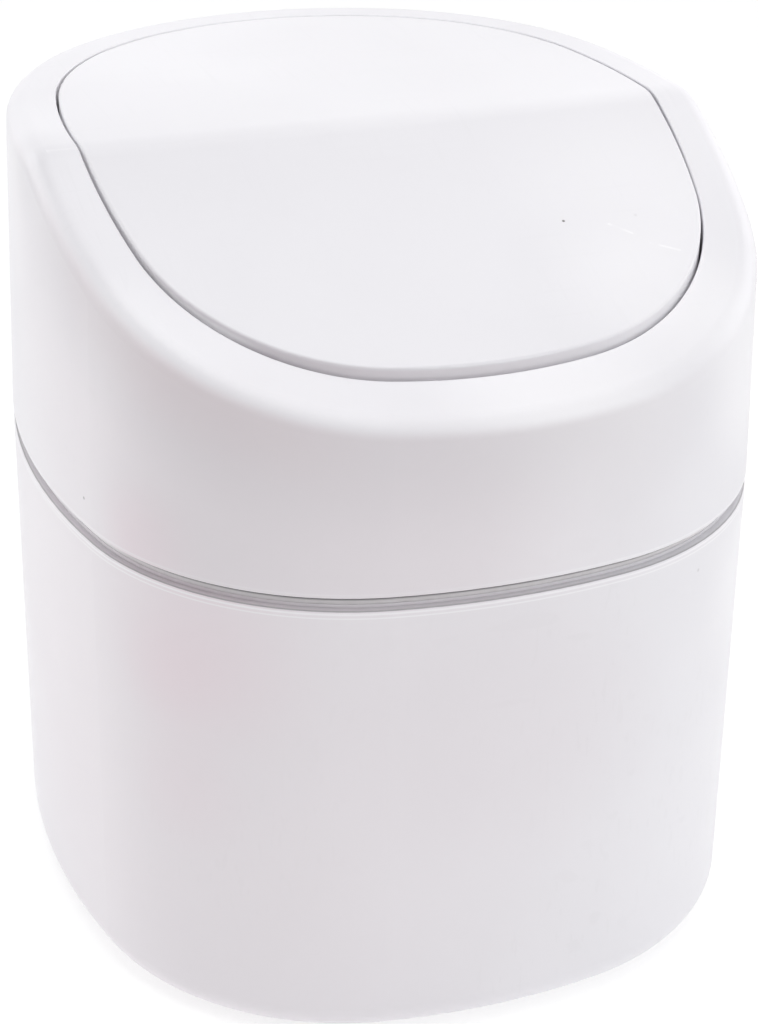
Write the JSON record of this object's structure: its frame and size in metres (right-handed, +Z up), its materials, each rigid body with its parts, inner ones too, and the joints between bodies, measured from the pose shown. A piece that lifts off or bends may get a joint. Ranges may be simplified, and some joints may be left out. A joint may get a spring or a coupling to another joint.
{
  "type": "countertop trash can",
  "caption": "Countertop trash can: rounded-square tub, bag ring and sloping housing with a flap that swings in at the front and closes by its own weight.",
  "frame": {"origin": "middle of the footprint, on the surface that the feet stand on", "axes": "+X to the bin's right, along the flap's pivot axis; +Y to the rear, so the sloping front faces -Y; +Z up"},
  "size_m": [0.13, 0.1492, 0.148],
  "materials": {
    "white_shell": "fine satin white",
    "ring_plastic": "satin white",
    "tray_plastic": "satin white",
    "bush_plastic": "natural",
    "steel": "bright",
    "weight_steel": "rolled",
    "soft_pad": "matt grey"
  },
  "bodies": {
    "base": {"bucket": "white_shell", "foot_front_left": "soft_pad", "foot_front_right": "soft_pad", "foot_rear_left": "soft_pad", "foot_rear_right": "soft_pad"},
    "ring": {"bag_ring": "ring_plastic"},
    "head": {"head_shell": "white_shell", "flap_bush_left": "bush_plastic", "flap_bush_right": "bush_plastic", "stop_pad_left": "soft_pad", "stop_pad_right": "soft_pad"},
    "flap": {"flap_cover": "white_shell", "flap_tray": "tray_plastic", "counterweight": "weight_steel", "flap_pin_left": "steel", "flap_pin_right": "steel", "tray_screws": "steel"}
  },
  "joints": [
    {"name": "ring_lift", "type": "slide", "parent": "base", "child": "ring", "axis": [0, 0, 1], "range_m": [0, 0.04]},
    {"name": "head_lift", "type": "slide", "parent": "ring", "child": "head", "axis": [0, 0, 1], "range_m": [0, 0.06]},
    {"name": "flap_swing", "type": "hinge", "parent": "head", "child": "flap", "pos_m": [0, -0.0042, 0.13698], "axis": [1, 0, 0], "range_deg": [0, 70]}
  ]
}
